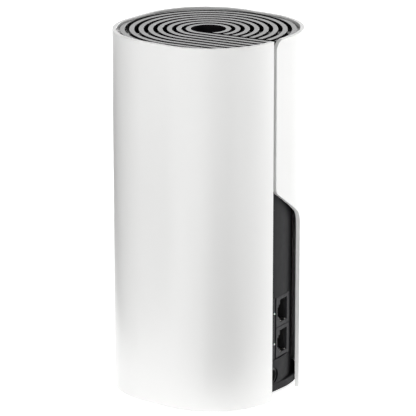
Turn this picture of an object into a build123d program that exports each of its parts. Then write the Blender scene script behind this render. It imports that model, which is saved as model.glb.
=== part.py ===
from build123d import *
import os
from math import cos, radians, sin, sqrt

# Tall mesh wifi node: a white scroll-shaped sleeve over a dark chassis, with a
# scroll-ribbed grille on top and two network sockets behind a cut in the sleeve.
# Frame: +Z up, origin at the middle of the resting plane, sockets face -Y. Millimetres.

# ---- sleeve ----
HEIGHT = 190.0            # resting plane to rim
SIDE = 90.7               # across the flats of the rounded-square section
CORNER_R = 37.5           # section corners
SLEEVE_TURN = -7.0        # degrees that the section is turned from the socket face
WALL = 2.1
SLEEVE_LIFT = 1.6         # gap under the sleeve, bridged by the foot
RIM_ROUND = 0.8
SEAM_FREE_X = -11.6       # free edge of the wrapped end
SEAM_FIXED_X = -9.2       # edge of the other end
SEAM_CORNER_R = 5.5
WINDOW_RIGHT_X = 14.5
WINDOW_TOP_Z = 111.5      # where the sloping cut leaves the seam
WINDOW_SLOPE_Z = 94.9     # where the slope would meet the upright edge
WINDOW_CORNER_R = 5.0
WINDOW_ROOT_R = 9.0
FIT_GAP = 0.3             # clearance between the sleeve and what it covers
RIM_TAB = (-15.5, -9.5)   # stretch of thickened rim beside the free edge
RIM_TAB_Z = 183.0
RIM_TAB_T = 1.3
RIM_TAB_FACE_Y = -43.0    # the tab stands back this far where it crosses the seam

# ---- grille ----
RIB_COUNT = 8
RIB_WIDTH = 2.47
RIB_PITCH = 4.753
HOLE_R = 8.94             # open middle of the scroll
RIB_DEPTH = 5.0
GRILLE_TOP_Z = 189.3
GRILLE_PLATE_Z = 181.0    # underside of the grille's carrier ring
SPOKE_WIDTH = 5.0
SPOKE_DROP = 0.45         # spokes sit this far under the rib tops
COLLAR_DROP = 1.0
COLLAR_LAP = 1.0          # the collar runs this far under the last rib
COLLAR_SPAN = (-70.0, 128.0)   # the gap outside the last rib is filled over this arc
SPOKE_ANGLES = (33, 123, 213, 303)
DEEP_SPOKE_DROP = 2.5     # all spokes but the first sit lower
SPOKE_ROOT = 1.5          # spokes reach this far under the ribs
RING_INNER_R = 38.9
SCREEN_T = 0.8
SCREEN_R = 38.6
SCREEN_GAP = 0.1          # between the spokes and the screen
SCREEN_RINGS = 4
SCREEN_RING_PITCH = 8.2
SCREEN_HOLE_R = 1.6

# ---- chassis ----
CHASSIS_R = 42.9
CHASSIS_WALL = 1.8
BASE_BOTTOM_Z = 4.4
BASE_T = 4.6
BASE_ROUND = 1.2
PANEL_TOP_Z = 180.6
PANEL_HALF_ANGLE = 50.0
FOOT_OUTER_R = 36.0
FOOT_WIDTH = 5.0
FOOT_RECESS = 0.8         # depth of the groove that holds the foot
FOOT_ROUND = 0.7
BOSS_R = 2.6
BOSS_HOLE_R = 1.1
BOSS_ANGLES = (35, 145)
BOSS_AT = 36.5
BOSS_LEN = 14.0
RIB_AT = 39.0             # radius of the ribs that stiffen the panel's edges
RIB_SIZE = (7.0, 3.0, 8.0)
RIB_ZS = (30, 95, 160)
PANEL_GAP = 0.15          # round the parts that fill the panel's openings
FRAME_MARGIN = 0.4        # degrees between the panel and the rear frame
VENT_ROWS = (52, 78, 104, 130)
VENT_SIZE = (12, 14, 18)
BASE_SLOT = (16, 2.0)
BASE_SLOT_PITCH = 5.0
BASE_SLOT_X = -12
LABEL_AT = (13, -11)
LABEL_SIZE = (18, 12)
LABEL_T = 0.12
LABEL_ROUND = 1.5

# ---- sockets ----
SOCKET_PITCH = 16.35
SOCKET_MID_Z = 38.4       # between the two sockets
SOCKET_FACE_Y = -42.4
BEZEL_LEFT_X = -4.6
BEZEL_RIGHT_X = 9.6
BEZEL_T = 1.4
SOCKET_RIGHT_X = 6.9      # contact side of each opening
SOCKET_BODY_X = -0.4      # where the plug's body ends and the latch steps begin
LATCH_STEPS = ((-1.9, 7.4), (-3.0, 5.0))   # left edge and height of each latch step
SOCKET_OPEN_H = 12.0
SOCKET_DEPTH = 13.0
JACK_LEFT_X = -3.9
JACK_RIGHT_X = 9.3
JACK_LEN = 20.6
JACK_H = 15.6
SHIELD_T = 0.25
JACK_GAP = 0.1            # between the bezel and the jacks
BEZEL_CHAMFER = 0.35
DIVIDER_DEPTH = 0.4       # groove between the two sockets
DIVIDER_WIDTH = 0.4
CONTACT_COUNT = 8
CONTACT_PITCH = 1.02
STRIP_X = (-9.3, -5.0)
STRIP_Y = (-42.2, -40.6)
LINK_LENS_X = -5.9
LINK_LENS_R = 0.5

# ---- power inlet and button ----
INLET_X = -7.2
INLET_Z = 13.7
INLET_R = 3.2
INLET_PIN_R = 1.05
BUTTON_X = 8.0
BUTTON_Y = 12.0
BUTTON_R = 2.5
BUTTON_GAP = 0.08         # running clearance round the cap
BUTTON_TRAVEL = 0.5
SWITCH_Z = 18.6
PLUNGER_R = 1.5

# ---- boards ----
BOARD_X = -5.6
BOARD_T = 1.6
BOARD_Y = (-38.6, 33.0)
BOARD_Z = (18.8, 162.0)
BOARD_SCREWS = ((-30, 156), (27, 156), (-30, 62), (27, 46))
CHIP_T = 1.3
PAD_T = 0.8
SINK_BASE_T = 2.0
SINK_FIN_T = 1.2
SINK_FIN_GAP = 4.6
SINK_REACH = CHASSIS_R - 8.5      # fins stay inside this radius
RIGHT_SINK = (0, 106, 50, 76)     # y, z, width, height
LEFT_SINK = (0, 104, 54, 80)
AERIAL_ANGLES = (62, 118)
AERIAL_SIZE = (0.8, 18, 34)
AERIAL_AT = (39.6, 158)           # radius and height of each aerial's middle

# ---- status light ----
LENS_Z = 24.0
LENS_R = 1.3

SOCKET_ZS = (SOCKET_MID_Z + SOCKET_PITCH / 2, SOCKET_MID_Z - SOCKET_PITCH / 2)
BOARD_FACE_X = BOARD_X + BOARD_T
BASE_TOP_Z = BASE_BOTTOM_Z + BASE_T
STRIP_Z = (SOCKET_MID_Z - SOCKET_PITCH, SOCKET_MID_Z + SOCKET_PITCH)
JACK_FRONT_Y = SOCKET_FACE_Y + BEZEL_T + JACK_GAP


def save(name, shape):
    export_step(shape, f"parts/{name}.step")


def save_group(name, solids):
    save(name, Compound(solids))


def block(x, y, z):
    """Box between two limits on each axis."""
    size = (x[1] - x[0], y[1] - y[0], z[1] - z[0])
    middle = ((x[0] + x[1]) / 2, (y[0] + y[1]) / 2, (z[0] + z[1]) / 2)
    return Pos(*middle) * Box(*size)


def rod(x, y, z0, z1, radius):
    """Upright cylinder between two heights."""
    return Pos(x, y, (z0 + z1) / 2) * Cylinder(radius, z1 - z0)


def rod_y(x, z, y0, y1, radius):
    """Cylinder along Y between two depths."""
    return Pos(x, (y0 + y1) / 2, z) * Rot(90, 0, 0) * Cylinder(radius, y1 - y0)


def rod_x(y, z, x0, x1, radius):
    """Cylinder along X."""
    return Pos((x0 + x1) / 2, y, z) * Rot(0, 90, 0) * Cylinder(radius, x1 - x0)


def section(inset):
    """The sleeve's rounded-square outline, brought in by inset."""
    side = SIDE - 2 * inset
    return Rot(0, 0, SLEEVE_TURN) * RectangleRounded(side, side, CORNER_R - inset)


def prism(sketch, z0, z1):
    return Pos(0, 0, z0) * extrude(sketch, z1 - z0)


def annulus(outer, inner, z0, z1):
    return prism(Circle(outer) - Circle(inner), z0, z1)


# ---------------------------------------------------------------- sleeve
def seam_and_window():
    """Cutter for the seam, its rounded top corner and the socket window."""
    above = HEIGHT + 5
    below = -5
    outline = (
        (SEAM_FREE_X, below),
        (SEAM_FREE_X, above),
        (0, above),
        (0, HEIGHT),
        (SEAM_FIXED_X, HEIGHT),
        (SEAM_FIXED_X, WINDOW_TOP_Z),
        (WINDOW_RIGHT_X, WINDOW_SLOPE_Z),
        (WINDOW_RIGHT_X, below),
    )
    face = make_face(Polyline(*outline, close=True))
    rounds = ((4, SEAM_CORNER_R), (5, WINDOW_CORNER_R), (6, WINDOW_ROOT_R))
    for index, radius in rounds:
        x, z = outline[index]
        corner = face.vertices().sort_by_distance((x, z, 0))[0]
        face = fillet(corner, radius)
    return extrude(Plane.XZ * face, SIDE)


def make_sleeve():
    sleeve = prism(section(0), SLEEVE_LIFT, HEIGHT)
    sleeve = fillet(sleeve.edges().group_by(Axis.Z)[-1], RIM_ROUND)
    bore = prism(section(WALL), 0, HEIGHT + 1)
    tab = bore - prism(section(WALL + RIM_TAB_T), 0, HEIGHT + 1)
    tab &= block(RIM_TAB, (-SIDE, 0), (RIM_TAB_Z, HEIGHT - RIM_ROUND))
    sleeve = sleeve - bore - seam_and_window()
    sleeve -= rod_y(0, LENS_Z, SIDE / 2 - 6, SIDE / 2 + 6, LENS_R)
    tab -= block((SEAM_FREE_X, SEAM_FIXED_X), (-SIDE, RIM_TAB_FACE_Y), (0, HEIGHT))
    save("outer_sleeve", sleeve + tab)


# ---------------------------------------------------------------- grille
def rib_sketch(index):
    """One scroll rib: a round sweep that ends short of the first straight run."""
    inner = HOLE_R + index * RIB_PITCH
    outer = inner + RIB_WIDTH
    sweep_end_x = -HOLE_R + RIB_PITCH - RIB_WIDTH
    reach = SIDE
    cut_away = Pos(sweep_end_x - reach / 2, -reach / 2) * Rectangle(reach, reach)
    run = Pos(-(inner + outer) / 2, -reach / 2) * Rectangle(RIB_WIDTH, reach)
    return (Circle(outer) - Circle(inner) - cut_away) + run


def wedge(start, end):
    """Flat sector between two angles, well past the sleeve."""
    reach = SIDE * 2
    steps = 8
    angles = [radians(start + (end - start) * i / steps) for i in range(steps + 1)]
    points = [(0, 0)] + [(reach * cos(a), reach * sin(a)) for a in angles]
    return make_face(Polyline(*points, close=True))


def make_grille():
    edge = section(WALL + FIT_GAP)
    ribs = rib_sketch(0)
    for index in range(1, RIB_COUNT):
        ribs += rib_sketch(index)
    grille = prism(ribs & edge, GRILLE_TOP_Z - RIB_DEPTH, GRILLE_TOP_Z)
    last_outer = HOLE_R + (RIB_COUNT - 1) * RIB_PITCH + RIB_WIDTH
    collar = (edge - Circle(last_outer - COLLAR_LAP)) & wedge(*COLLAR_SPAN)
    grille += prism(collar, GRILLE_TOP_Z - RIB_DEPTH, GRILLE_TOP_Z - COLLAR_DROP)
    for angle in SPOKE_ANGLES:
        spoke = Rot(0, 0, angle) * Pos(SIDE / 2, 0) * Rectangle(SIDE, SPOKE_WIDTH)
        spoke = (spoke - Circle(HOLE_R + COLLAR_LAP)) & edge
        drop = SPOKE_DROP if angle == SPOKE_ANGLES[0] else DEEP_SPOKE_DROP
        grille += prism(spoke, GRILLE_TOP_Z - RIB_DEPTH - SPOKE_ROOT, GRILLE_TOP_Z - drop)
    ring = edge - Circle(RING_INNER_R)
    grille += prism(ring, GRILLE_PLATE_Z, GRILLE_TOP_Z - RIB_DEPTH)
    tab_room = prism(edge - section(WALL + RIM_TAB_T + FIT_GAP), RIM_TAB_Z - 1, HEIGHT)
    tab_room &= block((RIM_TAB[0] - 1, RIM_TAB[1] + 1), (-SIDE, 0), (0, HEIGHT))
    save("top_grille", grille - tab_room)


def make_vent_screen():
    """Dark pierced disc under the ribs."""
    top = GRILLE_TOP_Z - RIB_DEPTH - SPOKE_ROOT - SCREEN_GAP
    screen = prism(Circle(SCREEN_R), top - SCREEN_T, top)
    holes = []
    for ring in range(1, SCREEN_RINGS + 1):
        count = ring * 6
        radius = ring * SCREEN_RING_PITCH
        for step in range(count):
            angle = radians(360 * step / count)
            holes.append(rod(radius * cos(angle), radius * sin(angle), top - 2, top + 2, SCREEN_HOLE_R))
    save("vent_screen", screen - holes)


# ---------------------------------------------------------------- chassis
def curved_wall(start, end, z0, z1):
    ring = Circle(CHASSIS_R) - Circle(CHASSIS_R - CHASSIS_WALL)
    return prism(ring & wedge(start, end), z0, z1)


def boss_places():
    return [(BOSS_AT * cos(radians(a)), BOSS_AT * sin(radians(a))) for a in BOSS_ANGLES]


def make_port_panel():
    """Dark curved wall behind the window, with holes for sockets, inlet and strip."""
    panel = curved_wall(-90 - PANEL_HALF_ANGLE, -90 + PANEL_HALF_ANGLE, BASE_TOP_Z, PANEL_TOP_Z)
    deep = (-SIDE, -30)
    gap = PANEL_GAP
    low, high = STRIP_Z
    panel -= block((BEZEL_LEFT_X - gap, BEZEL_RIGHT_X + gap), deep, (low - gap, high + gap))
    panel -= block((STRIP_X[0] - gap, STRIP_X[1] + gap), deep, (low - gap, high + gap))
    panel -= rod_y(INLET_X, INLET_Z, -SIDE / 2, -30, INLET_R + 1.0)
    for side in (-1, 1):
        at = -90 + side * (PANEL_HALF_ANGLE - 4)
        x, y = RIB_AT * cos(radians(at)), RIB_AT * sin(radians(at))
        for z in RIB_ZS:
            rib = Pos(x, y, z) * Rot(0, 0, at) * Box(*RIB_SIZE)
            panel += rib & prism(Circle(CHASSIS_R - 0.5), BASE_TOP_Z, PANEL_TOP_Z)
    save("port_panel", panel)


def make_rear_frame():
    """The rest of the chassis tube: an open cage with bosses at top and bottom."""
    start = -90 + PANEL_HALF_ANGLE + FRAME_MARGIN
    end = 270 - PANEL_HALF_ANGLE - FRAME_MARGIN
    frame = curved_wall(start, end, BASE_TOP_Z, PANEL_TOP_Z)
    for z in VENT_ROWS:
        for angle in range(0, 181, 30):
            slot = Pos(CHASSIS_R, 0, 0) * Box(*VENT_SIZE)
            frame -= Pos(0, 0, z + VENT_SIZE[2] / 2) * Rot(0, 0, angle) * slot
    frame -= rod_y(0, LENS_Z, 30, SIDE / 2, LENS_R + 1.2)
    for x, y in boss_places():
        for z0, z1 in ((BASE_TOP_Z, BASE_TOP_Z + BOSS_LEN), (PANEL_TOP_Z - BOSS_LEN, PANEL_TOP_Z)):
            web = rod(x, y, z0, z1, BOSS_R) + rod(x * 1.09, y * 1.09, z0, z1, 2.0)
            frame += web & prism(Circle(CHASSIS_R - 0.1), z0, z1)
            frame -= rod(x, y, z0 - 1, z1 + 1, BOSS_HOLE_R)
    save("rear_frame", frame)


def make_base():
    base = prism(section(WALL + FIT_GAP), BASE_BOTTOM_Z, BASE_TOP_Z)
    base = fillet(base.edges().group_by(Axis.Z)[0], BASE_ROUND)
    base = fillet(base.edges().group_by(Axis.Z)[-1], 0.5)
    base -= annulus(FOOT_OUTER_R + 0.05, FOOT_OUTER_R - FOOT_WIDTH - 0.05, 0, BASE_BOTTOM_Z + FOOT_RECESS)
    base -= rod(BUTTON_X, BUTTON_Y, 0, BASE_TOP_Z + 1, BUTTON_R + BUTTON_GAP)
    base -= rod(BUTTON_X, BUTTON_Y, BASE_TOP_Z - 1.5, BASE_TOP_Z + 1, BUTTON_R + 1.2)
    for row in range(-3, 4):
        slot = prism(SlotOverall(*BASE_SLOT), BASE_BOTTOM_Z, BASE_TOP_Z)
        base -= Pos(BASE_SLOT_X, row * BASE_SLOT_PITCH, 0) * slot
    for x, y in boss_places():
        base -= rod(x, y, 0, BASE_TOP_Z + 1, 1.6)
        base -= rod(x, y, 0, BASE_BOTTOM_Z + 3.0, 2.8)
    save("base_tray", base)


def make_foot():
    ring = annulus(FOOT_OUTER_R, FOOT_OUTER_R - FOOT_WIDTH, 0, BASE_BOTTOM_Z + FOOT_RECESS)
    ring = fillet(ring.edges().group_by(Axis.Z)[0], FOOT_ROUND)
    for x, y in boss_places():
        ring -= rod(x, y, -1, BASE_BOTTOM_Z + 2, 2.9)
    save("rubber_foot", ring)


def make_rating_label():
    outline = RectangleRounded(*LABEL_SIZE, LABEL_ROUND)
    save("rating_label", Pos(*LABEL_AT) * prism(outline, BASE_BOTTOM_Z - LABEL_T, BASE_BOTTOM_Z))


# ---------------------------------------------------------------- sockets
def socket_sketch(z):
    """Opening for a plug lying on its side, its latch steps to the left."""
    width = SOCKET_RIGHT_X - SOCKET_BODY_X
    shape = Pos((SOCKET_RIGHT_X + SOCKET_BODY_X) / 2, z) * Rectangle(width, SOCKET_OPEN_H)
    for left, height in LATCH_STEPS:
        shape += Pos((SOCKET_BODY_X + left) / 2, z) * Rectangle(SOCKET_BODY_X - left, height)
    return shape


def socket_cut(z, y0, y1):
    return Pos(0, y1, 0) * extrude(Plane.XZ * socket_sketch(z), y1 - y0)


def make_bezel():
    low, high = STRIP_Z
    bezel = block((BEZEL_LEFT_X, BEZEL_RIGHT_X), (SOCKET_FACE_Y, SOCKET_FACE_Y + BEZEL_T), (low, high))
    front = bezel.edges().group_by(Axis.Y)[0]
    bezel = chamfer(front, BEZEL_CHAMFER)
    for z in SOCKET_ZS:
        bezel -= socket_cut(z, SOCKET_FACE_Y - 1, SOCKET_FACE_Y + BEZEL_T + 1)
    half = DIVIDER_WIDTH / 2
    divider = block((BEZEL_LEFT_X, BEZEL_RIGHT_X), (SOCKET_FACE_Y - 1, SOCKET_FACE_Y + DIVIDER_DEPTH),
                    (SOCKET_MID_Z - half, SOCKET_MID_Z + half))
    save("socket_bezel", bezel - divider)


def make_indicator_strip():
    strip = block(STRIP_X, STRIP_Y, STRIP_Z)
    strip &= prism(Circle(CHASSIS_R - 0.15), 0, HEIGHT)
    for z in SOCKET_ZS:
        strip -= rod_y(LINK_LENS_X, z, -44, -40, LINK_LENS_R + 0.05)
    save("indicator_strip", strip)
    lenses = [rod_y(LINK_LENS_X, z, STRIP_Y[0] - 0.2, STRIP_Y[1], LINK_LENS_R) for z in SOCKET_ZS]
    save_group("link_lenses", lenses)


def make_jack(number, z):
    """Network jack: housing, plated shield round it, eight contacts and two springs."""
    half = JACK_H / 2
    back = JACK_FRONT_Y + JACK_LEN
    x = (JACK_LEFT_X + SHIELD_T, JACK_RIGHT_X - SHIELD_T)
    housing = block(x, (JACK_FRONT_Y, back - SHIELD_T), (z - half + SHIELD_T, z + half - SHIELD_T))
    housing -= socket_cut(z, JACK_FRONT_Y - 1, JACK_FRONT_Y + SOCKET_DEPTH - BEZEL_T)
    outer = block((JACK_LEFT_X, JACK_RIGHT_X), (JACK_FRONT_Y, back), (z - half, z + half))
    room = block(x, (JACK_FRONT_Y - 1, back - SHIELD_T), (z - half + SHIELD_T, z + half - SHIELD_T))
    save(f"jack_{number}_housing", housing)
    save(f"jack_{number}_shield", outer - room)


def make_jack_contacts():
    contacts = []
    springs = []
    for z in SOCKET_ZS:
        for step in range(CONTACT_COUNT):
            at = z + (step - (CONTACT_COUNT - 1) / 2) * CONTACT_PITCH
            across = (SOCKET_RIGHT_X - 0.5, SOCKET_RIGHT_X - 0.15)
            wire = block(across, (-37.5, -30.5), (at - 0.17, at + 0.17))
            hook = Pos(SOCKET_RIGHT_X - 1.5, -34.6, at) * Rot(0, 0, 24) * Box(0.35, 6.0, 0.34)
            contacts.append(wire + hook)
        for x in (1.2, SOCKET_RIGHT_X - 1.3):
            low = z - SOCKET_OPEN_H / 2
            springs.append(block((x - 0.55, x + 0.55), (-41.9, -39.2), (low, low + 0.45)))
        low = z - LATCH_STEPS[0][1] / 2
        springs.append(block((-1.75, -0.95), (-41.9, -39.2), (low, low + 0.4)))
    save_group("jack_contacts", contacts)
    save_group("shield_springs", springs)


# ---------------------------------------------------------------- power inlet
def make_inlet():
    front = -42.0
    body = rod_y(INLET_X, INLET_Z, front, -30, INLET_R + 0.85)
    body += block((INLET_X - 4.0, INLET_X + 4.0), (-38.7, -29), (INLET_Z - 4.0, INLET_Z + 4.0))
    body -= rod_y(INLET_X, INLET_Z, front - 1, -32, INLET_R)
    body &= prism(Circle(CHASSIS_R + 0.1), 0, HEIGHT)
    save("power_inlet", body)
    pin = rod_y(INLET_X, INLET_Z, -41.0, -32, INLET_PIN_R)
    pin = fillet(pin.edges().group_by(Axis.Y)[0], 0.5)
    save("inlet_pin", pin)
    leads = []
    for x in (-8.4, -6.9):
        path = FilletPolyline((x, -29, 13.5), (x, -22, 13.5), (x, -22, 24.0), radius=3)
        profile = Plane((x, -29, 13.5), z_dir=(0, 1, 0)) * Circle(0.6)
        leads.append(sweep(profile, path))
    save_group("inlet_leads", leads)
    save("lead_plug", block((-9.6, BOARD_X), (-24.0, -20.0), (24.0, 30.0)))


# ---------------------------------------------------------------- button
def make_button():
    cap = rod(BUTTON_X, BUTTON_Y, BASE_BOTTOM_Z - 0.8, BASE_TOP_Z - 1.6, BUTTON_R)
    cap = fillet(cap.edges().group_by(Axis.Z)[0], 0.5)
    flange = rod(BUTTON_X, BUTTON_Y, BASE_TOP_Z - 1.4, BASE_TOP_Z - 0.6, BUTTON_R + 0.9)
    stem = rod(BUTTON_X, BUTTON_Y, BASE_TOP_Z - 1.7, SWITCH_Z - 2.6, 1.4)
    save("reset_button", cap + flange + stem)
    save("switch_plunger", rod(BUTTON_X, BUTTON_Y, SWITCH_Z - 2.6, SWITCH_Z + 0.6, PLUNGER_R))
    switch = block((BUTTON_X - 3, BUTTON_X + 3), (BUTTON_Y - 3, BUTTON_Y + 3), (SWITCH_Z - 0.8, SWITCH_Z + 3))
    switch -= rod(BUTTON_X, BUTTON_Y, SWITCH_Z - 2, SWITCH_Z + 0.6 + BUTTON_TRAVEL + 0.15, PLUNGER_R + 0.08)
    save("reset_switch", switch)
    board = block((BOARD_FACE_X, BUTTON_X + 6), (BUTTON_Y - 8, BUTTON_Y + 8), (SWITCH_Z + 3, SWITCH_Z + 4.2))
    save("button_board", board)


# ---------------------------------------------------------------- electronics
def on_right(y, z, width, height, depth, start=0.0):
    """Block standing off the board's +X face."""
    x0 = BOARD_FACE_X + start
    return block((x0, x0 + depth), (y - width / 2, y + width / 2), (z - height / 2, z + height / 2))


def on_left(y, z, width, height, depth, start=0.0):
    """Block standing off the board's -X face."""
    x1 = BOARD_X - start
    return block((x1 - depth, x1), (y - width / 2, y + width / 2), (z - height / 2, z + height / 2))


def make_sinks():
    """Two finned plates that clamp the hot parts on each side of the board."""
    base_t = SINK_BASE_T
    stand = CHIP_T + PAD_T
    y, z, width, height = RIGHT_SINK
    sink = on_right(y, z, width, height, base_t, stand)
    count = int(width / SINK_FIN_GAP)
    for i in range(count + 1):
        fin_y = y - width / 2 + 0.6 + i * (width - 1.2) / count
        reach = min(24.0, sqrt(SINK_REACH ** 2 - fin_y ** 2) + 1.9 - base_t - stand)
        sink += block((BOARD_FACE_X + stand, BOARD_FACE_X + stand + base_t + reach),
                      (fin_y - SINK_FIN_T / 2, fin_y + SINK_FIN_T / 2), (z - height / 2, z + height / 2))
    save("heat_sink_right", sink)
    y, z, width, height = LEFT_SINK
    sink = on_left(y, z, width, height, base_t, stand + 1.0)
    count = int(width / SINK_FIN_GAP)
    for i in range(count + 1):
        fin_y = y - width / 2 + 0.6 + i * (width - 1.2) / count
        reach = min(20.0, sqrt(SINK_REACH ** 2 - fin_y ** 2) - 6.0 - base_t - stand - 1.0)
        sink += block((BOARD_X - stand - 1.0 - base_t - reach, BOARD_X - stand - 1.0),
                      (fin_y - SINK_FIN_T / 2, fin_y + SINK_FIN_T / 2), (z - height / 2, z + height / 2))
    save("heat_sink_left", sink)


def make_electronics():
    board = block((BOARD_X, BOARD_FACE_X), BOARD_Y, BOARD_Z)
    board -= block((BOARD_X - 1, BOARD_FACE_X + 1), (27.0, 34), (18, 34))
    for y, z in BOARD_SCREWS:
        board -= rod_x(y, z, BOARD_X - 1, BOARD_FACE_X + 1, 1.6)
    save("main_board", board)
    save("processor", on_right(0, 118, 17, 17, CHIP_T))
    save("memory_chip", on_right(0, 94, 9, 14, CHIP_T))
    save("flash_chip", on_right(18, 82, 8, 6, 1.0))
    save("switch_chip", on_right(-10, 72, 12, 12, CHIP_T))
    save_group("thermal_pads", [
        on_right(0, 118, 16, 16, PAD_T, CHIP_T),
        on_right(0, 94, 8, 13, PAD_T, CHIP_T),
        on_right(-10, 72, 11, 11, PAD_T, CHIP_T),
        on_left(0, 124, 24, 20, 1.0, 2.1),
        on_left(0, 88, 24, 20, 1.0, 2.1),
    ])
    save("radio_can_low_band", on_left(0, 88, 30, 24, 2.1))
    save("radio_can_high_band", on_left(0, 124, 30, 24, 2.1))
    magnetics = [on_right(-10, z, 14, 8, 5.5) for z in SOCKET_ZS]
    save_group("line_transformers", magnetics)
    caps = [rod_x(y, 30, BOARD_FACE_X, BOARD_FACE_X + 10.5, 3.1) for y in (4, 24)]
    caps.append(rod_x(4, 56, BOARD_FACE_X, BOARD_FACE_X + 10.5, 3.1))
    save_group("smoothing_capacitors", caps)
    coils = [on_right(y, 44, 7, 7, 4.0) for y in (6, 16)]
    save_group("power_coils", coils)
    save("clock_crystal", on_right(16, 100, 5, 3.2, 0.9))
    leds = on_right(29.0, 38.5, 3, 3, 1.5)
    save("status_led", leds)


def make_board_screws():
    screws = []
    posts = []
    for y, z in BOARD_SCREWS:
        head = rod_x(y, z, BOARD_FACE_X, BOARD_FACE_X + 1.6, 2.6)
        head += rod_x(y, z, BOARD_X - 6, BOARD_FACE_X, 1.4)
        drive = block((BOARD_FACE_X + 1.0, BOARD_FACE_X + 2), (y - 2, y + 2), (z - 0.3, z + 0.3))
        screws.append(head - drive)
        edge = -sqrt((CHASSIS_R - CHASSIS_WALL) ** 2 - (abs(y) + 3) ** 2) + 0.2
        posts.append(rod_x(y, z, edge, BOARD_X, 3.0) - rod_x(y, z, BOARD_X - 6.2, BOARD_X, 1.45))
    save_group("board_screws", screws)
    save_group("board_posts", posts)


def make_chassis_screws():
    screws = []
    for x, y in boss_places():
        screw = rod(x, y, BASE_BOTTOM_Z + 1.2, BASE_BOTTOM_Z + 3.0, 2.5)
        screw += rod(x, y, BASE_BOTTOM_Z + 3.0, BASE_TOP_Z + 9, 1.08)
        screws.append(screw - rod(x, y, BASE_BOTTOM_Z + 1, BASE_BOTTOM_Z + 2.2, 0.9))
    save_group("base_screws", screws)


# ---------------------------------------------------------------- aerials and light
def make_aerials():
    plates = []
    cables = []
    for angle in AERIAL_ANGLES:
        turn = Rot(0, 0, angle)
        plate = turn * Pos(AERIAL_AT[0], 0, AERIAL_AT[1]) * Box(*AERIAL_SIZE)
        slot = turn * Pos(AERIAL_AT[0], 3, AERIAL_AT[1]) * Box(2, 3, 22)
        plates.append(plate - slot)
        x0, y0 = 38.4 * cos(radians(angle)), 38.4 * sin(radians(angle))
        y1 = BOARD_Y[1] - 4
        x1 = BOARD_FACE_X + 1.4 if angle < 90 else BOARD_X - 1.4
        path = FilletPolyline((x0, y0, 146), (x0, y0, 134), (x1, y1, 130), (x1, y1, 122), radius=2.5)
        profile = Plane((x0, y0, 146), z_dir=(0, 0, -1)) * Circle(0.55)
        cables.append(sweep(profile, path))
    for number, plate in enumerate(plates, 1):
        save(f"aerial_{number}", plate)
    save_group("aerial_cables", cables)
    y = BOARD_Y[1] - 4
    sockets = [block((BOARD_FACE_X, BOARD_FACE_X + 2.2), (y - 1.5, y + 1.5), (119, 122))]
    sockets.append(block((BOARD_X - 2.2, BOARD_X), (y - 1.5, y + 1.5), (119, 122)))
    save_group("aerial_sockets", sockets)


def make_light_pipe():
    lens = rod_y(0, LENS_Z, 40.5, SIDE / 2 + 0.2, LENS_R - 0.05)
    lens &= prism(section(0), 0, HEIGHT)
    save("status_lens", lens)
    pipe = block((-2.5, 1.5), (32.0, 40.5), (LENS_Z - 1.2, LENS_Z + 1.2))
    pipe += block((-2.5, 1.5), (28.2, 32.0), (LENS_Z - 1.2, 37.0))
    save("light_pipe", pipe)


make_sleeve()
make_grille()
make_vent_screen()
make_port_panel()
make_rear_frame()
make_base()
make_foot()
make_rating_label()
make_bezel()
make_indicator_strip()
for number, z in enumerate(SOCKET_ZS, 1):
    make_jack(number, z)
make_jack_contacts()
make_inlet()
make_button()
make_sinks()
make_electronics()
make_board_screws()
make_chassis_screws()
make_aerials()
make_light_pipe()
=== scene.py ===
import math

import bmesh
import bpy
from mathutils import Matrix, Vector


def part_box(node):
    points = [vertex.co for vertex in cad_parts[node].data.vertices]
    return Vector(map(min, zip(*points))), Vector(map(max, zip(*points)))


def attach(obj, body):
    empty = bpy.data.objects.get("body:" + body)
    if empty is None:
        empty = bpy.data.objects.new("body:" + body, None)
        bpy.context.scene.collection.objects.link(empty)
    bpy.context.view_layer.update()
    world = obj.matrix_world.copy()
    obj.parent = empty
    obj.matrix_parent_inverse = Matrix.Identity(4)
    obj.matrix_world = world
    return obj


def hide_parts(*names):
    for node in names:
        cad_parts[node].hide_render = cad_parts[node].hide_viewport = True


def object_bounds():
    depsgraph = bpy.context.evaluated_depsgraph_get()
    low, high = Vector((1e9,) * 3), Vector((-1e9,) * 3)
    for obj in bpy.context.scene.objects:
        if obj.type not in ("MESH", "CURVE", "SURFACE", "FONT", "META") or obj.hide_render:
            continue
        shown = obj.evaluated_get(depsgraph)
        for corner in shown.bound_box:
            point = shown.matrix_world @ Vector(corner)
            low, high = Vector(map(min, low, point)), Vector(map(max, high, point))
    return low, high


bl_info = {
    "name": "Mesh wifi node",
    "version": (1, 0, 0),
    "blender": (4, 5, 0),
    "location": "View3D > Sidebar > Wifi Node",
    "description": "Sleeve, grille, sockets and finishes of a tall mesh wifi node",
    "category": "Object",
}

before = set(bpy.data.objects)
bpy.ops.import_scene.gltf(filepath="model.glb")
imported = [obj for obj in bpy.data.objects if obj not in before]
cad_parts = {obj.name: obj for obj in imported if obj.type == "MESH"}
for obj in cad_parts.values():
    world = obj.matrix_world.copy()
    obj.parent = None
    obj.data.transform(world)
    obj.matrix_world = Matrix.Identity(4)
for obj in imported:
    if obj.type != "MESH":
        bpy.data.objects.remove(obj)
CAD_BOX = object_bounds()

MM = 0.001
WHOLE_LOW, WHOLE_HIGH = (Vector(corner) for corner in CAD_BOX)
SLEEVE_LOW, SLEEVE_HIGH = (Vector(corner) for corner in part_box("outer_sleeve"))
GRILLE_LOW, GRILLE_HIGH = (Vector(corner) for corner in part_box("top_grille"))
SCREEN_HIGH = Vector(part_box("vent_screen")[1])
LENS_LOW, LENS_HIGH = (Vector(corner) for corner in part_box("status_lens"))

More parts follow.
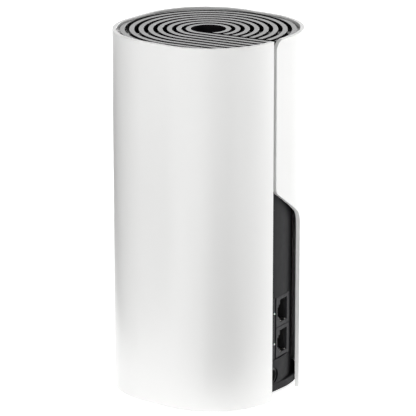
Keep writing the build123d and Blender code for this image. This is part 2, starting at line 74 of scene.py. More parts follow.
# Section of the sleeve: a rounded square, turned a little from the socket face.
SIDE = 90.7 * MM
CORNER_R = 37.5 * MM
FLAT = SIDE - 2 * CORNER_R
QUARTER = FLAT + CORNER_R * math.pi / 2
PERIMETER = 4 * QUARTER
SLEEVE_TURN = math.radians(-7.0)
BEND_STEP = 1.2 * MM      # spacing of the bend lines round the section
CLIP_STEPS = 144          # planes that trim a flat piece to the section

# Seam and socket window
FREE_EDGE_X = -11.6 * MM
FIXED_EDGE_X = -9.2 * MM
WINDOW_RIGHT_X = 14.5 * MM
WINDOW_TOP_Z = 111.5 * MM
WINDOW_SLOPE_Z = 94.9 * MM
SEAM_CORNER_R = 5.5 * MM
WINDOW_CORNER_R = 5.0 * MM
WINDOW_ROOT_R = 9.0 * MM
ARC_STEPS = 12            # points on each rounded corner of the blank
TAB_START_X = -15.5 * MM
TAB_LOW_Z = 183.0 * MM
TAB_T = 1.3 * MM
TAB_CORNER_R = 0.9 * MM
LENS_CLEARANCE = 0.1 * MM
LENS_SEARCH_STEP = MM / 4
LENS_SEARCH_STEPS = 60

# Grille
RIB_COUNT = 8
RIB_WIDTH = 2.47 * MM
RIB_PITCH = 4.753 * MM
HOLE_R = 8.94 * MM
RIB_DEPTH = 5.0 * MM
ARC_STEP = 1.0 * MM       # spacing of points round a rib
LAST_OUTER = HOLE_R + (RIB_COUNT - 1) * RIB_PITCH + RIB_WIDTH
SWEEP_END_X = -HOLE_R + RIB_PITCH - RIB_WIDTH
PAST_SECTION = 60 * MM    # flat pieces start this far out and are trimmed
SPOKE_WIDTH = 5.0 * MM
SPOKE_DROPS = {33: 0.45 * MM, 123: 2.5 * MM, 213: 2.5 * MM, 303: 2.5 * MM}
COLLAR_DROP = 1.0 * MM
COLLAR_LAP = 1.0 * MM
COLLAR_SPAN = (-70, 128)
FIT_GAP = 0.3 * MM
RING_INNER_R = 38.9 * MM
RING_STEP = 2             # degrees between points round a ring
SPOKE_LIFT = 0.1 * MM     # space between a spoke and the screen
SUPPORT_ROUND = 0.2 * MM  # edges of the spokes and rings

CAMERA_ASIDE = -0.22 * MM
CAMERA_AIM_Z = 95.05 * MM
SENSOR_WIDTH = 36.0       # millimetres, as Blender counts a sensor
CLIP_START = 0.05
FLOOR_R = 8.0
FLOOR_SIDES = 96
CARD_T = 1.0 * MM
# corners of each card: bearing from the camera in degrees, and distance
CARDS = (
    ((-72, 0.13), (-50, 0.5), (-100, 0.95), (-148, 0.95), (-162, 0.6), (-130, 0.165)),
    ((-10, 0.085), (-4, 0.9), (34, 0.9), (40, 0.095)),
)
# name, bearing from the camera in degrees, distance, height, width, height of the panel, radiance
SOFTBOXES = (
    ("softbox_back", 180, 3.0, 0.9, 3.4, 1.8, 1.55),
    ("softbox_left", -60, 1.6, 0.6, 0.32, 1.7, 6.0),
    ("softbox_front_left", -20, 1.6, 0.6, 0.32, 1.7, 1.5),
    ("softbox_front", 0, 1.6, 0.6, 0.32, 1.7, 2.0),
    ("softbox_front_right", 20, 1.6, 0.6, 0.32, 1.7, 3.4),
    ("softbox_right", 100, 1.6, 0.6, 0.32, 1.7, 7.0),
    ("softbox_right_back", 120, 1.6, 0.6, 0.32, 1.7, 1.5),
    ("softbox_rim", 160, 1.6, 0.6, 0.32, 1.7, 11.0),
)

# Mesh tolerances
SEARCH_HALVINGS = 40
CUT_TOLERANCE = 1e-7
MERGE_DISTANCE = 2e-6
FLAT_DEGREES = 0.4        # faces closer in slope than this are merged
BENT_FLAT_DEGREES = 0.2
SLEEVE_BEVEL_DEGREES = 50
NODE_BEVEL_DEGREES = 40
PIECE_BEVEL_DEGREES = 35
SHADING_WEIGHT = 80


# ------------------------------------------------------------------ colours and nodes
def srgb(code):
    """Linear RGBA from an sRGB hex code."""
    channels = [int(code[i:i + 2], 16) / 255 for i in (1, 3, 5)]
    linear = [c / 12.92 if c <= 0.04045 else ((c + 0.055) / 1.055) ** 2.4 for c in channels]
    return (*linear, 1.0)


def add_node(tree, kind, values=None, links=None, **attributes):
    """Adds one shader node, sets its properties and sockets, and wires what feeds it."""
    node = tree.nodes.new(kind)
    for key, value in attributes.items():
        setattr(node, key, value)
    for socket, value in (values or {}).items():
        node.inputs[socket].default_value = value
    for socket, source in (links or {}).items():
        tree.links.new(source, node.inputs[socket])
    return node


def per_metre(millimetres):
    """Texture scale whose features are this many millimetres apart."""
    return 1000.0 / millimetres


class Finish:
    """A material being made: a Principled shader, with patterns in the object's own space."""

    def __init__(self, name, **values):
        self.material = bpy.data.materials.new(name)
        self.material.use_nodes = True
        self.tree = self.material.node_tree
        self.tree.nodes.clear()
        sockets = {key.replace("_", " "): value for key, value in values.items()}
        self.shader = add_node(self.tree, "ShaderNodeBsdfPrincipled", sockets)
        add_node(self.tree, "ShaderNodeOutputMaterial", links={"Surface": self.shader.outputs["BSDF"]})
        self.where = add_node(self.tree, "ShaderNodeTexCoord").outputs["Object"]

    def stretched(self, x=1.0, y=1.0, z=1.0):
        """The object's space, scaled on each axis."""
        node = add_node(self.tree, "ShaderNodeMapping", {"Scale": (x, y, z)}, {"Vector": self.where})
        return node.outputs[0]

    def noise(self, size_mm, detail=3.0, where=None):
        values = {"Scale": per_metre(size_mm), "Detail": detail}
        node = add_node(self.tree, "ShaderNodeTexNoise", values, {"Vector": where or self.where})
        return node.outputs["Fac"]

    def cells(self, size_mm, where=None, output="Distance"):
        values = {"Scale": per_metre(size_mm)}
        node = add_node(self.tree, "ShaderNodeTexVoronoi", values, {"Vector": where or self.where})
        return node.outputs[output]

    def bands(self, size_mm, direction, distortion=0.0):
        values = {"Scale": per_metre(size_mm) / 2, "Distortion": distortion}
        return add_node(self.tree, "ShaderNodeTexWave", values, {"Vector": self.where},
                        bands_direction=direction).outputs["Fac"]

    def ramp(self, source, low, high):
        """Remaps a pattern from 0..1 to low..high."""
        return add_node(self.tree, "ShaderNodeMapRange", {"To Min": low, "To Max": high},
                        {"Value": source}).outputs["Result"]

    def colour(self, source, low, high):
        """Blends two hex colours by a pattern."""
        mix = add_node(self.tree, "ShaderNodeMix", links={0: source}, data_type="RGBA")
        mix.inputs[6].default_value = srgb(low)
        mix.inputs[7].default_value = srgb(high)
        self.tree.links.new(mix.outputs[2], self.shader.inputs["Base Color"])
        return self

    def roughness(self, source, low, high):
        self.tree.links.new(self.ramp(source, low, high), self.shader.inputs["Roughness"])
        return self

    def bump(self, source, depth_mm, strength=1.0):
        """Relief of the given depth."""
        node = add_node(self.tree, "ShaderNodeBump", {"Strength": strength, "Distance": depth_mm * MM},
                        {"Height": source})
        self.tree.links.new(node.outputs["Normal"], self.shader.inputs["Normal"])
        return self


# ------------------------------------------------------------------ settings
class NodeShape(bpy.types.PropertyGroup):
    wall: bpy.props.FloatProperty(
        name="Sleeve wall", description="Thickness of the moulded sleeve",
        default=2.1 * MM, min=1.0 * MM, max=4.0 * MM, unit="LENGTH", precision=4)
    edge_round: bpy.props.FloatProperty(
        name="Edge rounding", description="Radius on the sleeve's moulded edges",
        default=0.5 * MM, min=0.1 * MM, max=1.0 * MM, unit="LENGTH", precision=5)
    rib_round: bpy.props.FloatProperty(
        name="Rib rounding", description="Radius along the top of each grille rib",
        default=0.3 * MM, min=0.05 * MM, max=0.8 * MM, unit="LENGTH", precision=5)
    chassis_round: bpy.props.FloatProperty(
        name="Chassis rounding", description="Radius on the dark mouldings' edges",
        default=0.25 * MM, min=0.05 * MM, max=0.6 * MM, unit="LENGTH", precision=5)


class StageSettings(bpy.types.PropertyGroup):
    distance: bpy.props.FloatProperty(
        name="Distance", description="Camera to the object's middle",
        default=1.619, min=0.3, max=10, unit="LENGTH")
    elevation: bpy.props.FloatProperty(
        name="Elevation", description="Camera angle above the horizon",
        default=math.radians(16.27), subtype="ANGLE")
    bearing: bpy.props.FloatProperty(
        name="Bearing", description="Turn of the view from looking straight at the sockets",
        default=math.radians(-60.0), subtype="ANGLE")
    lens: bpy.props.FloatProperty(
        name="Lens", description="Focal length on a 36 mm sensor",
        default=273.4, min=20, max=800, subtype="DISTANCE_CAMERA")
    surround: bpy.props.FloatProperty(
        name="Surround", description="Brightness of the soft white surround",
        default=0.05, min=0, max=4)


# ------------------------------------------------------------------ mesh tools
def section_point(distance, inset=0.0):
    """Point of the section, by distance round it from the middle of the -Y flat, and its outward side."""
    side, along = divmod(distance + FLAT / 2, QUARTER)
    if along <= FLAT:
        place, bearing = complex(along - FLAT / 2, -SIDE / 2), -math.pi / 2
    else:
        bearing = -math.pi / 2 + (along - FLAT) / CORNER_R
        centre = complex(FLAT / 2, -FLAT / 2)
        place = centre + CORNER_R * complex(math.cos(bearing), math.sin(bearing))
    turn = side * math.pi / 2 + SLEEVE_TURN
    spin = complex(math.cos(turn), math.sin(turn))
    out = complex(math.cos(bearing), math.sin(bearing)) * spin
    place = place * spin - out * inset
    return Vector((place.real, place.imag, 0)), Vector((out.real, out.imag, 0))


def distance_at(target, axis=0, low=-PERIMETER / 8, high=PERIMETER / 8):
    """Distance round the section at which a coordinate that grows along it reaches the target."""
    for _ in range(SEARCH_HALVINGS):
        middle = (low + high) / 2
        if section_point(middle)[0][axis] < target:
            low = middle
        else:
            high = middle
    return (low + high) / 2


def on_arc(radius, angle):
    return Vector((radius * math.cos(angle), radius * math.sin(angle), 0))


def rounded(points, radii):
    """Polygon with its corners rounded: one radius for each corner, 0 for a sharp one."""
    result = []
    for index, radius in enumerate(radii):
        here = Vector(points[index])
        if radius == 0:
            result.append(here)
            continue
        before = (Vector(points[index - 1]) - here).normalized()
        after = (Vector(points[(index + 1) % len(points)]) - here).normalized()
        half = before.angle(after) / 2
        middle = here + (before + after).normalized() * radius / math.sin(half)
        start = here + before * radius / math.tan(half) - middle
        end = here + after * radius / math.tan(half) - middle
        outward = [start.slerp(end, i / ARC_STEPS).normalized() for i in range(ARC_STEPS + 1)]
        result += [middle + direction * radius for direction in outward]
    return result


def outline_edges(tool, points):
    """Closed loop of edges in the flat blank's plane."""
    verts = [tool.verts.new((point[0], 0, point[1])) for point in points]
    return [tool.edges.new((verts[i - 1], verts[i])) for i in range(len(verts))]


def bisect(tool, place, normal, trim=False):
    geometry = tool.verts[:] + tool.edges[:] + tool.faces[:]
    bmesh.ops.bisect_plane(
        tool, geom=geometry, dist=CUT_TOLERANCE, plane_co=place, plane_no=normal, clear_outer=trim)


def merge_flats(tool, degrees=FLAT_DEGREES):
    bmesh.ops.remove_doubles(tool, verts=tool.verts[:], dist=MERGE_DISTANCE)
    bmesh.ops.dissolve_limit(
        tool, angle_limit=math.radians(degrees), verts=tool.verts[:], edges=tool.edges[:])


def trim_to_section(tool, inset):
    """Cuts a flat mesh back to the section, brought in by inset."""
    for index in range(CLIP_STEPS):
        place, out = section_point(PERIMETER * index / CLIP_STEPS, inset)
        bisect(tool, place, out, trim=True)


def thicken(tool, shift):
    """Makes a flat mesh solid: a second copy of every face, moved, with walls between."""
    copy = bmesh.ops.extrude_face_region(tool, geom=tool.faces[:], use_keep_orig=True)["geom"]
    for item in copy:
        if isinstance(item, bmesh.types.BMVert):
            item.co += shift
    bmesh.ops.recalc_face_normals(tool, faces=tool.faces[:])


def strip(tool, left, right, z):
    """Flat strip between two rows of points."""
    rows = [[tool.verts.new((p.x, p.y, z)) for p in row] for row in (left, right)]
    for a, b, c, d in zip(rows[0], rows[0][1:], rows[1][1:], rows[1]):
        tool.faces.new((a, b, c, d))


def new_piece(name, tool, material, body="main", replaced=()):
    """Turns a bmesh into a named piece that rides on a body and stands for CAD nodes."""
    mesh = bpy.data.meshes.new(name)
    tool.to_mesh(mesh)
    tool.free()
    mesh.materials.append(material)
    for face in mesh.polygons:
        face.use_smooth = True
        face.material_index = 0
    piece = bpy.data.objects.new(name, mesh)
    bpy.context.scene.collection.objects.link(piece)
    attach(piece, body)
    if replaced:
        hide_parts(*replaced)
    return piece


def soften(piece, width, segments=3, angle=PIECE_BEVEL_DEGREES):
    """Rounds a piece's sharp edges and evens its shading."""
    bevel = piece.modifiers.new("edge_round", "BEVEL")
    bevel.width = width
    bevel.segments = segments
    bevel.limit_method = "ANGLE"
    bevel.angle_limit = math.radians(angle)
    even = piece.modifiers.new("even_shading", "WEIGHTED_NORMAL")
    even.weight = SHADING_WEIGHT
    return piece


def softened(name, node, width, material, body="main", segments=2):
    """Rounded piece in place of a CAD node: its faces merged where flat, its edges eased."""
    tool = bmesh.new()
    tool.from_mesh(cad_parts[node].data)
    merge_flats(tool)
    piece = new_piece(name, tool, material, body, (node,))
    return soften(piece, width, segments, NODE_BEVEL_DEGREES)


def finish_cad(material, *names):
    """Gives carried-over nodes their finish."""
    for name in names:
        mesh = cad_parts[name].data
        mesh.materials.clear()
        mesh.materials.append(material)


# ------------------------------------------------------------------ materials
def moulded_abs_white():
    """White ABS from a lightly blasted tool: satin, so light spreads softly along it."""
    finish = Finish("moulded_abs_white", Base_Color=srgb("#E9E9E8"), Roughness=0.3, IOR=1.54)
    flow = finish.noise(70, 2.0)
    # The blasted grain is about 0.05 mm; it is drawn at 0.4 mm, the finest that shows.
    return finish.colour(flow, "#E8E8E7", "#EBEBEA").roughness(flow, 0.27, 0.33).bump(
        finish.noise(0.4), 0.004, 0.5).material


def moulded_pc_black():
    """Semi-gloss polycarbonate blend: dark, but bright where it is seen at a low angle."""
    finish = Finish("moulded_pc_black", Base_Color=srgb("#111112"), Roughness=0.25, IOR=1.585)
    flow = finish.noise(8)
    return finish.colour(flow, "#0F0F10", "#151516").roughness(flow, 0.2, 0.32).bump(
        finish.noise(0.4), 0.004, 0.5).material


def textured_abs(name, low, high, roughness=(0.5, 0.62)):
    """Dark ABS with a spark-eroded texture, which breaks up highlights."""
    finish = Finish(name, Base_Color=srgb(low), IOR=1.54, Specular_IOR_Level=0.14)
    # The texture's pits are about 0.1 mm across, drawn at 0.45 mm so that they show.
    return finish.colour(finish.noise(0.9), low, high).roughness(finish.noise(6), *roughness).bump(
        finish.cells(0.45), 0.02, 0.6).material


def foot_elastomer():
    """Thermoplastic rubber: matt, with a dusty bloom."""
    finish = Finish("foot_elastomer", Base_Color=srgb("#2B2B2C"), IOR=1.49)
    return finish.colour(finish.noise(5, 6.0), "#232324", "#363637").roughness(
        finish.noise(1.5), 0.72, 0.9).bump(finish.noise(0.5), 0.02).material


def label_film():
    """Matt polyester label over its glue, which telegraphs a faint orange-peel."""
    finish = Finish("label_film", Base_Color=srgb("#D9DADB"), IOR=1.57)
    return finish.colour(finish.noise(7), "#D2D3D4", "#DEDFE0").roughness(
        finish.noise(0.6), 0.4, 0.5).bump(finish.noise(1.2), 0.01, 0.6).material


def glass_filled_nylon():
    """Black glass-filled nylon: short pale fibres show in the skin."""
    finish = Finish("glass_filled_nylon", Base_Color=srgb("#1B1B1C"), IOR=1.53)
    fibres = finish.noise(0.5, 2.0, finish.stretched(1.0, 4.0, 4.0))
    return finish.colour(fibres, "#151516", "#262627").roughness(fibres, 0.38, 0.55).bump(
        fibres, 0.01, 0.5).material


def rolled_metal(name, low, high, roughness, stretch=(1.0, 1.0, 14.0), grain_mm=2.5):
    """Metal with the fine lengthwise lines that rolling, drawing or extrusion leaves."""
    finish = Finish(name, Base_Color=srgb(low), Metallic=1.0)
    lines = finish.noise(grain_mm, 4.0, finish.stretched(*stretch))
    return finish.colour(lines, low, high).roughness(lines, *roughness).bump(lines, 0.006, 0.5).material


def tinplate():
    """Hot-dipped tinplate: spangles a few millimetres across, each with its own sheen."""
    finish = Finish("tinplate", Base_Color=srgb("#B9BBBB"), Metallic=1.0)
    spangle = finish.cells(3.0, output="Color")
    return finish.colour(spangle, "#ABADAE", "#C9CBCB").roughness(spangle, 0.22, 0.4).bump(
        finish.noise(4), 0.01, 0.5).material


def gold_plate():
    """Hard gold over nickel, wiped a little by plugs."""
    finish = Finish("gold_plate", Base_Color=srgb("#E3B65C"), Metallic=1.0)
    wipe = finish.noise(0.6, 3.0, finish.stretched(4.0, 1.0, 1.0))
    return finish.colour(wipe, "#D9AA4F", "#EBC373").roughness(wipe, 0.15, 0.3).material


def soft_pvc():
    """PVC wire jacket: slightly waxy, with draw lines."""
    finish = Finish("soft_pvc", Base_Color=srgb("#202021"), IOR=1.53)
    return finish.colour(finish.noise(3), "#1B1B1C", "#2A2A2B").roughness(
        finish.noise(1.0), 0.4, 0.55).material


def natural_nylon():
    """Unfilled nylon: milky, and light enters it a little way."""
    finish = Finish("natural_nylon", Base_Color=srgb("#E6E1D3"), IOR=1.53, Subsurface_Weight=0.3,
                    Subsurface_Scale=1.0 * MM)
    return finish.colour(finish.noise(3), "#E0DBCC", "#ECE8DC").roughness(
        finish.noise(1.0), 0.38, 0.5).material


def solder_mask():
    """Green solder mask: copper tracks stand up under it and lighten it."""
    finish = Finish("solder_mask", Base_Color=srgb("#10402A"), IOR=1.5)
    tracks = finish.ramp(finish.bands(1.6, "Z", 6.0), -1.0, 1.6)
    return finish.colour(tracks, "#0D3823", "#1C6A43").roughness(finish.noise(2), 0.25, 0.4).bump(
        tracks, 0.035, 0.7).material


def chip_epoxy():
    """Black moulding epoxy: a fine matt grain from its silica filler."""
    finish = Finish("chip_epoxy", Base_Color=srgb("#1D1D1F"), IOR=1.55)
    return finish.colour(finish.noise(0.5), "#19191B", "#29292B").roughness(
        finish.noise(0.5), 0.5, 0.7).bump(finish.noise(0.4), 0.01).material


def silicone_pad():
    """Filled silicone gap pad: dull and slightly crazed."""
    finish = Finish("silicone_pad", Base_Color=srgb("#8E9AA8"), IOR=1.43)
    return finish.colour(finish.noise(1.2), "#84909E", "#9BA6B3").roughness(
        finish.noise(2), 0.65, 0.8).bump(finish.cells(0.8), 0.03).material


def sintered_ferrite():
    """Pressed and fired ferrite: dark grey-brown, with a dry grain."""
    finish = Finish("sintered_ferrite", Base_Color=srgb("#33302E"), IOR=1.6)
    return finish.colour(finish.noise(0.6), "#2A2725", "#423E3B").roughness(
        finish.noise(1.5), 0.6, 0.8).bump(finish.noise(0.5), 0.03).material


def opal_polycarbonate():
    """Opal light pipe: white, and a little light passes into it."""
    finish = Finish("opal_polycarbonate", Base_Color=srgb("#F1F3F4"), IOR=1.585, Transmission_Weight=0.15,
                    Subsurface_Weight=0.4, Subsurface_Scale=0.8 * MM)
    return finish.colour(finish.noise(1.0), "#ECEFF0", "#F7F8F8").roughness(
        finish.noise(1.0), 0.12, 0.22).material


def pierced_screen():
    """Black lacquered steel screen, with a woven look between its holes."""
    finish = Finish("pierced_screen", Base_Color=srgb("#0C0C0D"), IOR=1.5)
    weave = finish.bands(0.8, "DIAGONAL")
    return finish.colour(weave, "#080809", "#121214").roughness(finish.noise(4), 0.6, 0.75).bump(
        weave, 0.05).material


def paper_sweep():
    """White background paper, with a faint tooth."""
    finish = Finish("paper_sweep", Base_Color=srgb("#F6F6F6"), IOR=1.45, Emission_Color=srgb("#FFFFFF"),
                    Emission_Strength=0.86)
    return finish.colour(finish.noise(40), "#F5F5F5", "#F8F8F8").roughness(
        finish.noise(3), 0.85, 0.95).bump(finish.noise(0.8), 0.02, 0.3).material


def wool_felt():
    """Charcoal felt: soft matted fibres."""
    finish = Finish("wool_felt", Base_Color=srgb("#1A1A1B"), IOR=1.5, Sheen_Weight=0.2)
    return finish.colour(finish.noise(1.5, 6.0), "#161617", "#202021").roughness(
        finish.noise(3), 0.85, 0.95).bump(finish.noise(0.8), 0.1).material


# ------------------------------------------------------------------ operators
class WIFINODE_OT_sleeve(bpy.types.Operator):
    """Moulded sleeve: one blank, bent round the section, with a seam and a socket window"""
    bl_idname = "wifinode.sleeve"
    bl_label = "Sleeve"

    def execute(self, context):
        shape = context.scene.node_shape
        start = distance_at(FIXED_EDGE_X)
        end = distance_at(FREE_EDGE_X) + PERIMETER
        window = distance_at(WINDOW_RIGHT_X)
        low, high = SLEEVE_LOW.z, SLEEVE_HIGH.z
        corners = (
            (start, high), (start, WINDOW_TOP_Z), (window, WINDOW_SLOPE_Z),
            (window, low), (end, low), (end, high))
        outline = rounded(corners, (SEAM_CORNER_R, WINDOW_CORNER_R, WINDOW_ROOT_R, 0, 0, 0))
        material = moulded_abs_white()
        sleeve = self.bent("sleeve", outline, self.lens_hole(), 0, shape.wall, material, ("outer_sleeve",))
        soften(sleeve, shape.edge_round, angle=SLEEVE_BEVEL_DEGREES)
        tab_start = distance_at(TAB_START_X) + PERIMETER
        rise = high - shape.edge_round
        corners = ((tab_start, TAB_LOW_Z), (end, TAB_LOW_Z), (end, rise), (tab_start, rise))
        outline = rounded(corners, (0, 0, TAB_CORNER_R, TAB_CORNER_R))
        tab = self.bent("sleeve_rim_tab", outline, None, shape.wall - TAB_T / 2, shape.wall + TAB_T, material)
        soften(tab, shape.edge_round / 2)
        return {"FINISHED"}

    def lens_hole(self):
        """Outline of the hole for the status lens, in the middle of the +Y side."""
        middle = (LENS_LOW + LENS_HIGH) / 2
        radius = (LENS_HIGH.z - LENS_LOW.z) / 2 + LENS_CLEARANCE
        offsets = range(-LENS_SEARCH_STEPS, LENS_SEARCH_STEPS + 1)
        across = min((2 * QUARTER + offset * LENS_SEARCH_STEP for offset in offsets),
                     key=lambda place: abs(section_point(place)[0].x - middle.x))
        turns = [2 * math.pi * step / (2 * ARC_STEPS) for step in range(2 * ARC_STEPS)]
        return [(across + radius * math.cos(a), middle.z + radius * math.sin(a)) for a in turns]

    def bent(self, name, outline, hole, near, far, material, replaced=()):
        """Flat outline bent round the section and given depth from near to far inside it."""
        tool = bmesh.new()
        edges = outline_edges(tool, outline)
        if hole:
            edges += outline_edges(tool, hole)
        bmesh.ops.triangle_fill(tool, edges=edges, use_beauty=True)
        left, right = min(p[0] for p in outline), max(p[0] for p in outline)
        count = max(2, round((right - left) / BEND_STEP))
        for index in range(1, count):
            bisect(tool, Vector((left + (right - left) * index / count, 0, 0)), Vector((1, 0, 0)))
        thicken(tool, Vector((0, 1, 0)))
        for vertex in tool.verts:
            place = section_point(vertex.co.x, far if vertex.co.y > 0.5 else near)[0]
            vertex.co = Vector((place.x, place.y, vertex.co.z))
        merge_flats(tool, BENT_FLAT_DEGREES)
        bmesh.ops.recalc_face_normals(tool, faces=tool.faces[:])
        return new_piece(name, tool, material, "main", replaced)


class WIFINODE_OT_grille(bpy.types.Operator):
    """Ribbed top: eight scroll ribs on spokes, with a collar that fills the back corners"""
    bl_idname = "wifinode.grille"
    bl_label = "Top grille"

    def execute(self, context):
        shape = context.scene.node_shape
        self.inset = shape.wall + FIT_GAP
        self.material = moulded_pc_black()
        self.make_ribs(shape.rib_round)
        self.make_spokes()
        self.make_ring("grille_collar", LAST_OUTER - COLLAR_LAP, COLLAR_SPAN,
                       GRILLE_HIGH.z - COLLAR_DROP, GRILLE_HIGH.z - RIB_DEPTH)
        self.make_ring("grille_ring", RING_INNER_R, (0, 360), GRILLE_HIGH.z - RIB_DEPTH, GRILLE_LOW.z)
        finish_cad(pierced_screen(), "vent_screen")
        return {"FINISHED"}

    def piece(self, name, tool, depth, edge_round, replaced=()):
        trim_to_section(tool, self.inset)
        merge_flats(tool)
        thicken(tool, Vector((0, 0, -depth)))
        soften(new_piece(name, tool, self.material, "main", replaced), edge_round)

    def rib_edge(self, radius, count):
        """One edge of a rib: straight in from the sleeve, then round to the end of its sweep."""
        finish = -math.acos(SWEEP_END_X / radius)
        turns = [math.pi - (math.pi - finish) * step / count for step in range(count + 1)]
        return [Vector((-radius, -PAST_SECTION, 0))] + [on_arc(radius, turn) for turn in turns]

    def make_ribs(self, edge_round):
        tool = bmesh.new()
        for index in range(RIB_COUNT):
            inner = HOLE_R + index * RIB_PITCH
            count = round(inner * 2 * math.pi / ARC_STEP)
            strip(tool, self.rib_edge(inner + RIB_WIDTH, count), self.rib_edge(inner, count), GRILLE_HIGH.z)
        self.piece("grille_ribs", tool, RIB_DEPTH, edge_round, ("top_grille",))

    def make_spokes(self):
        for number, (angle, drop) in enumerate(SPOKE_DROPS.items(), 1):
            tool = bmesh.new()
            out = on_arc(1, math.radians(angle))
            side = Vector((-out.y, out.x, 0)) * SPOKE_WIDTH / 2
            near, far = out * (HOLE_R + COLLAR_LAP), out * PAST_SECTION
            top = GRILLE_HIGH.z - drop
            strip(tool, (near + side, far + side), (near - side, far - side), top)
            depth = top - SCREEN_HIGH.z - SPOKE_LIFT
            self.piece("grille_spoke_%d" % number, tool, depth, SUPPORT_ROUND)

    def make_ring(self, name, inner, span, top, bottom):
        tool = bmesh.new()
        turns = [math.radians(turn) for turn in range(span[0], span[1] + 1, RING_STEP)]
        strip(tool, [on_arc(PAST_SECTION, t) for t in turns], [on_arc(inner, t) for t in turns], top)
        self.piece(name, tool, top - bottom, SUPPORT_ROUND)


class WIFINODE_OT_chassis(bpy.types.Operator):
    """Dark inner mouldings: port panel, rear frame and base tray"""
    bl_idname = "wifinode.chassis"
    bl_label = "Chassis"

    def execute(self, context):
        ease = context.scene.node_shape.chassis_round
        material = textured_abs("textured_abs_dark", "#121214", "#1C1C1E")
        softened("port_panel_shell", "port_panel", ease, material)
        softened("base_tray_shell", "base_tray", ease, material)
        finish_cad(material, "rear_frame", "board_posts")
        return {"FINISHED"}


class WIFINODE_OT_foot(bpy.types.Operator):
    """Rubber foot ring and the blank rating label"""
    bl_idname = "wifinode.foot"
    bl_label = "Foot and label"

    def execute(self, context):
        ease = context.scene.node_shape.chassis_round
        softened("foot_ring", "rubber_foot", ease, foot_elastomer())
        finish_cad(label_film(), "rating_label")
        return {"FINISHED"}


class WIFINODE_OT_sockets(bpy.types.Operator):
    """Network sockets: bezel, housings, shields, contacts and springs"""
    bl_idname = "wifinode.sockets"
    bl_label = "Sockets"

    def execute(self, context):
        ease = context.scene.node_shape.chassis_round
        bezel = textured_abs("textured_abs_bezel", "#262628", "#323234", (0.42, 0.52))
        softened("bezel_frame", "socket_bezel", ease, bezel)
        nylon = glass_filled_nylon()
        for number in (1, 2):
            node = "jack_%d_housing" % number
            softened("socket_%d_body" % number, node, ease / 2, nylon)
        steel = rolled_metal("plated_steel", "#B4B3AE", "#CFCDC8", (0.2, 0.38))
        finish_cad(steel, "jack_1_shield", "jack_2_shield", "shield_springs", "reset_switch")
        finish_cad(gold_plate(), "jack_contacts", "aerial_sockets")
        return {"FINISHED"}


class WIFINODE_OT_indicators(bpy.types.Operator):
    """Link lights beside the sockets, and the status light behind"""
    bl_idname = "wifinode.indicators"
    bl_label = "Indicators"

    def execute(self, context):
        ease = context.scene.node_shape.chassis_round
        trim = textured_abs("textured_abs_strip", "#1E1E20", "#2A2A2C", (0.42, 0.52))
        softened("light_strip", "indicator_strip", ease / 2, trim)
        opal = opal_polycarbonate()
        softened("link_light_lenses", "link_lenses", ease / 2, opal)
        softened("status_light_lens", "status_lens", ease / 2, opal)
        finish_cad(opal, "light_pipe", "status_led")
        return {"FINISHED"}


class WIFINODE_OT_inlet(bpy.types.Operator):
    """Power inlet with its pin, leads and plug"""
    bl_idname = "wifinode.inlet"
    bl_label = "Power inlet"

    def execute(self, context):
        ease = context.scene.node_shape.chassis_round
        softened("inlet_body", "power_inlet", ease / 2, glass_filled_nylon())
        pin = rolled_metal("inlet_pin_nickel", "#BDBBB4", "#D6D4CE", (0.12, 0.25), (1.0, 12.0, 1.0))
        finish_cad(pin, "inlet_pin")
        finish_cad(soft_pvc(), "inlet_leads", "aerial_cables")
        finish_cad(natural_nylon(), "lead_plug")
        return {"FINISHED"}


class WIFINODE_OT_button(bpy.types.Operator):
    """Reset button under the base, and the plunger it works"""
    bl_idname = "wifinode.button"
    bl_label = "Reset button"

    def execute(self, context):
        ease = context.scene.node_shape.chassis_round
        material = textured_abs("textured_abs_button", "#3A3A3C", "#48484A", (0.3, 0.4))
        softened("reset_button_cap", "reset_button", ease, material, "reset")
        finish_cad(glass_filled_nylon(), "switch_plunger")
        return {"FINISHED"}


class WIFINODE_OT_electronics(bpy.types.Operator):
    """Boards, chips, coils, capacitors and aerials inside"""
    bl_idname = "wifinode.electronics"
    bl_label = "Electronics"

    def execute(self, context):
        finish_cad(solder_mask(), "main_board", "button_board")
        chips = ("processor", "memory_chip", "switch_chip", "flash_chip", "line_transformers")
        finish_cad(chip_epoxy(), *chips)
        finish_cad(silicone_pad(), "thermal_pads")
        finish_cad(sintered_ferrite(), "power_coils")
        sleeve = rolled_metal("capacitor_aluminium", "#A9ACB0", "#C4C7CA", (0.25, 0.4), (1.0, 12.0, 12.0))
        finish_cad(sleeve, "smoothing_capacitors")
        plate = rolled_metal("aerial_tinned_copper", "#B9B2A4", "#D0CABD", (0.2, 0.35))
        finish_cad(plate, "aerial_1", "aerial_2")
        return {"FINISHED"}


class WIFINODE_OT_metalwork(bpy.types.Operator):
    """Heat sinks, shielding cans and screws"""
    bl_idname = "wifinode.metalwork"
    bl_label = "Metalwork"

    def execute(self, context):
        extruded = rolled_metal("extruded_aluminium", "#9DA0A3", "#BBBEC0", (0.3, 0.48), (12.0, 12.0, 1.0))
        finish_cad(extruded, "heat_sink_left", "heat_sink_right")
        finish_cad(tinplate(), "radio_can_high_band", "radio_can_low_band", "clock_crystal")
        zinc = rolled_metal("zinc_plated_steel", "#8F9296", "#B6B8B9", (0.25, 0.45), (3.0, 3.0, 3.0))
        finish_cad(zinc, "base_screws", "board_screws")
        return {"FINISHED"}


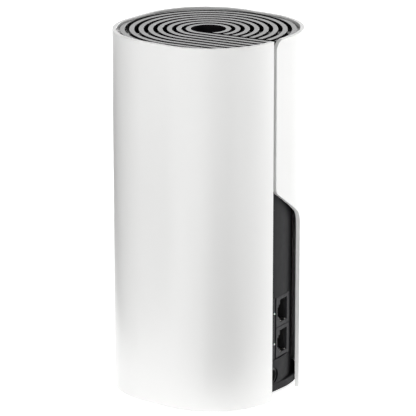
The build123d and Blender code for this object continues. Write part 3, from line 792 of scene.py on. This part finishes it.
class WIFINODE_OT_stage(bpy.types.Operator):
    """Pale floor, soft studio light and camera"""
    bl_idname = "wifinode.stage"
    bl_label = "Stage"

    def execute(self, context):
        settings = context.scene.stage_settings
        self.turn = settings.bearing
        self.make_floor()
        self.make_cards()
        self.make_surround(settings.surround)
        for softbox in SOFTBOXES:
            self.add_softbox(*softbox)
        self.make_camera(context.scene, settings)
        return {"FINISHED"}

    def make_floor(self):
        tool = bmesh.new()
        bmesh.ops.create_circle(tool, cap_ends=True, segments=FLOOR_SIDES, radius=FLOOR_R)
        mesh = bpy.data.meshes.new("floor")
        tool.to_mesh(mesh)
        tool.free()
        mesh.materials.append(paper_sweep())
        floor = bpy.data.objects.new("floor", mesh)
        floor.location.z = WHOLE_LOW.z
        bpy.context.scene.collection.objects.link(floor)

    def make_cards(self):
        """Felt cards that keep the floor's light off parts of the sleeve; the camera doesn't see them."""
        material = wool_felt()
        for number, corners in enumerate(CARDS, 1):
            tool = bmesh.new()
            places = [self.from_camera(*corner) for corner in corners]
            tool.faces.new([tool.verts.new((p.x, p.y, WHOLE_LOW.z + CARD_T)) for p in places])
            thicken(tool, Vector((0, 0, -CARD_T / 2)))
            mesh = bpy.data.meshes.new("card_%d" % number)
            tool.to_mesh(mesh)
            tool.free()
            mesh.materials.append(material)
            card = bpy.data.objects.new(mesh.name, mesh)
            card.visible_camera = False
            bpy.context.scene.collection.objects.link(card)

    def from_camera(self, bearing, distance):
        """Place on the floor at a bearing in degrees from the camera's own side."""
        angle = math.radians(bearing)
        view = Vector((math.sin(self.turn), -math.cos(self.turn), 0))
        right = Vector((math.cos(self.turn), math.sin(self.turn), 0))
        return (view * math.cos(angle) + right * math.sin(angle)) * distance

    def make_surround(self, brightness):
        world = bpy.data.worlds.new("soft_surround")
        world.use_nodes = True
        background = world.node_tree.nodes["Background"]
        background.inputs["Strength"].default_value = brightness
        background.inputs["Color"].default_value = srgb("#FFFFFF")
        bpy.context.scene.world = world

    def add_softbox(self, name, bearing, distance, height, width, tall, radiance):
        """Area light at a bearing from the camera's own, aimed at the object's middle."""
        light = bpy.data.lights.new(name, "AREA")
        light.shape = "RECTANGLE"
        light.size, light.size_y = width, tall
        light.energy = radiance * width * tall * math.pi
        lamp = bpy.data.objects.new(name, light)
        lamp.location = self.from_camera(bearing, distance)
        lamp.location.z = height
        aim = Vector((0, 0, WHOLE_HIGH.z / 2)) - lamp.location
        lamp.rotation_euler = aim.to_track_quat("-Z", "Y").to_euler()
        lamp.visible_camera = False
        bpy.context.scene.collection.objects.link(lamp)

    def make_camera(self, scene, settings):
        data = bpy.data.cameras.new("camera")
        data.sensor_width = SENSOR_WIDTH
        data.lens = settings.lens
        data.clip_start = CLIP_START
        camera = bpy.data.objects.new("camera", data)
        rise = settings.elevation
        flat = Vector((math.sin(self.turn), -math.cos(self.turn), 0))
        back = flat * math.cos(rise) + Vector((0, 0, math.sin(rise)))
        right = Vector((math.cos(self.turn), math.sin(self.turn), 0))
        aim = Vector((0, 0, CAMERA_AIM_Z)) + right * CAMERA_ASIDE
        camera.location = aim + back * settings.distance
        camera.rotation_euler = (-back).to_track_quat("-Z", "Y").to_euler()
        scene.collection.objects.link(camera)
        scene.camera = camera
        scene.view_settings.view_transform = "Standard"


class WIFINODE_PT_panel(bpy.types.Panel):
    """Settings and makers in the sidebar"""
    bl_idname = "WIFINODE_PT_panel"
    bl_label = "Wifi Node"
    bl_space_type = "VIEW_3D"
    bl_region_type = "UI"
    bl_category = "Wifi Node"

    def draw(self, context):
        for setting, group in GROUPS.items():
            for name in group.__annotations__:
                self.layout.prop(getattr(context.scene, setting), name)
        for maker in MAKERS:
            self.layout.operator(maker.bl_idname)


GROUPS = {"node_shape": NodeShape, "stage_settings": StageSettings}
MAKERS = (
    WIFINODE_OT_stage, WIFINODE_OT_sleeve, WIFINODE_OT_grille, WIFINODE_OT_chassis, WIFINODE_OT_foot,
    WIFINODE_OT_sockets, WIFINODE_OT_indicators, WIFINODE_OT_inlet, WIFINODE_OT_button,
    WIFINODE_OT_electronics, WIFINODE_OT_metalwork,
)


def register():
    for cls in (*GROUPS.values(), *MAKERS, WIFINODE_PT_panel):
        bpy.utils.register_class(cls)
    for name, group in GROUPS.items():
        setattr(bpy.types.Scene, name, bpy.props.PointerProperty(type=group))


def unregister():
    for name in GROUPS:
        delattr(bpy.types.Scene, name)
    for cls in reversed((*GROUPS.values(), *MAKERS, WIFINODE_PT_panel)):
        bpy.utils.unregister_class(cls)


def main():
    register()
    for maker in MAKERS:
        getattr(bpy.ops.wifinode, maker.bl_idname.partition(".")[2])()


if __name__ == "__main__":
    main()
